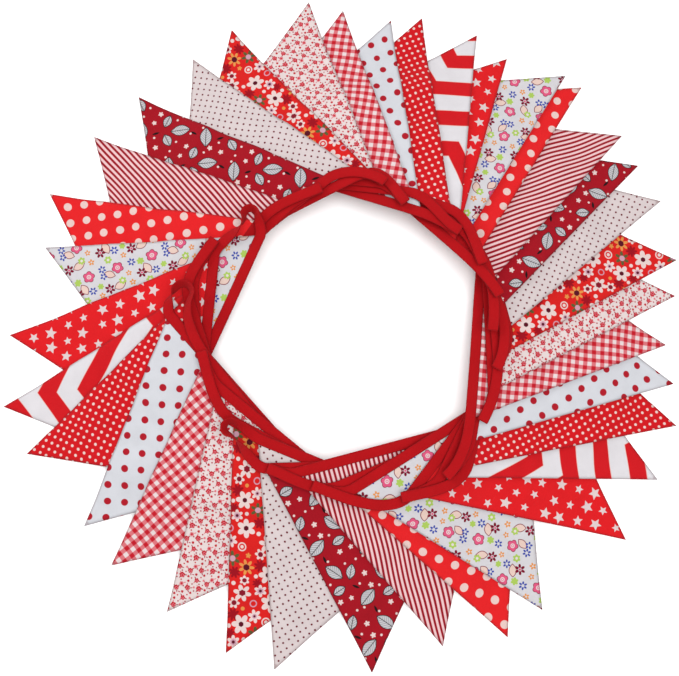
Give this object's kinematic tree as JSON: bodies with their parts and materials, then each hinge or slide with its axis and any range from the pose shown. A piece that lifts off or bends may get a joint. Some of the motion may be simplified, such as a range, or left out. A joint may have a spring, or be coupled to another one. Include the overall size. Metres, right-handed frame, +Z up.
{
  "type": "fabric bunting",
  "caption": "Fabric bunting of triangular printed cotton flags on a folded red binding tape, laid on a flat surface as a fanned ring with the tips outwards.",
  "frame": {"origin": "middle of the laid ring's outline, on the surface it rests on", "axes": "+Z up, +Y towards the top of the picture, +X to its right"},
  "size_m": [0.6735, 0.677, 0.0468],
  "materials": {
    "stars_cotton": "printed cotton",
    "meadow_cotton": "printed cotton",
    "spots_cotton": "printed cotton",
    "stripe_cotton": "printed cotton",
    "leaves_cotton": "printed cotton",
    "pins_cotton": "printed cotton",
    "daisies_cotton": "printed cotton",
    "roses_cotton": "printed cotton",
    "gingham_cotton": "printed cotton",
    "reddots_cotton": "printed cotton",
    "dots_cotton": "printed cotton",
    "chevron_cotton": "printed cotton",
    "red_binding": "plain cotton bias binding"
  },
  "bodies": {
    "root": {"flag_01": "stars_cotton", "flag_02": "meadow_cotton", "flag_03": "spots_cotton", "flag_04": "stripe_cotton", "flag_05": "leaves_cotton", "flag_06": "pins_cotton", "flag_07": "daisies_cotton", "flag_08": "roses_cotton", "flag_09": "gingham_cotton", "flag_10": "reddots_cotton", "flag_11": "dots_cotton", "flag_12": "chevron_cotton", "flag_13": "stars_cotton", "flag_14": "meadow_cotton", "flag_15": "spots_cotton", "flag_16": "stripe_cotton", "flag_17": "leaves_cotton", "flag_18": "pins_cotton", "flag_19": "daisies_cotton", "flag_20": "roses_cotton", "flag_21": "gingham_cotton", "flag_22": "reddots_cotton", "flag_23": "dots_cotton", "flag_24": "chevron_cotton", "flag_25": "stars_cotton", "flag_26": "meadow_cotton", "flag_27": "spots_cotton", "flag_28": "stripe_cotton", "flag_29": "leaves_cotton", "flag_30": "pins_cotton", "flag_31": "daisies_cotton", "flag_32": "roses_cotton", "flag_33": "gingham_cotton", "flag_34": "reddots_cotton", "flag_35": "dots_cotton", "flag_36": "chevron_cotton", "binding_tape": "red_binding"}
  },
  "joints": []
}
